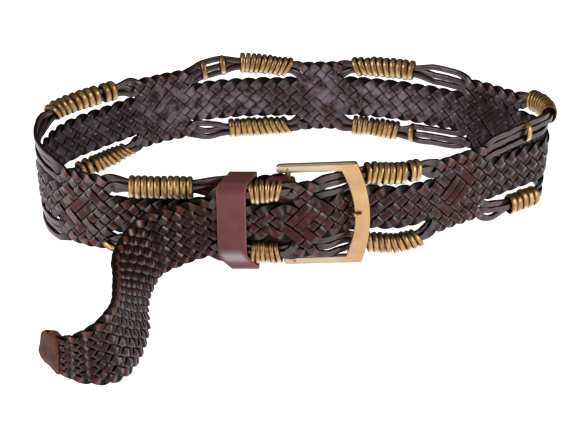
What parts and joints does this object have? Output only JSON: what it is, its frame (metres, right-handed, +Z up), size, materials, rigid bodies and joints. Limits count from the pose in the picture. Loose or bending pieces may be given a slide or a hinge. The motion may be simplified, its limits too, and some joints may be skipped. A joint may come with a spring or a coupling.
{
  "type": "braided belt",
  "caption": "Braided leather belt, buckled and standing on its edge, with wire rings wound on split bundles, a framed buckle and a keeper loop.",
  "frame": {"origin": "on the floor under the middle of the belt's bounding box", "axes": "+X to the wearer's side of the buckle, -Y out of the buckle's face, +Z up"},
  "size_m": [0.306, 0.2668, 0.0668],
  "materials": {
    "braided_leather": "dark brown leather strips, glossy outside, matt inside, raw pale edges",
    "smooth_leather": "smooth mauve-brown leather with raw edges",
    "ring_brass": "aged brass wire, dull with bright worn crowns",
    "buckle_brass": "satin brass, brushed"
  },
  "bodies": {
    "root": {"braided_strap": "braided_leather", "wrap_heel_top": "ring_brass", "wrap_heel_bottom": "ring_brass", "wrap_left_top": "ring_brass", "wrap_left_bottom": "ring_brass", "wrap_back_left_top": "ring_brass", "wrap_back_left_bottom": "ring_brass", "wrap_back_right_top": "ring_brass", "wrap_back_right_bottom": "ring_brass", "wrap_right_top": "ring_brass", "wrap_right_bottom": "ring_brass", "wrap_front_top": "ring_brass", "wrap_front_bottom": "ring_brass", "wrap_keeper_side_top": "ring_brass", "wrap_keeper_side_bottom": "ring_brass", "loose_ring_1": "ring_brass", "loose_ring_2": "ring_brass", "loose_ring_3": "ring_brass", "loose_ring_4": "ring_brass", "loose_ring_5": "ring_brass", "loose_ring_6": "ring_brass", "keeper": "smooth_leather", "tip_tab": "smooth_leather", "buckle_frame": "buckle_brass", "heel_bar": "buckle_brass", "prong": "buckle_brass"}
  },
  "joints": []
}
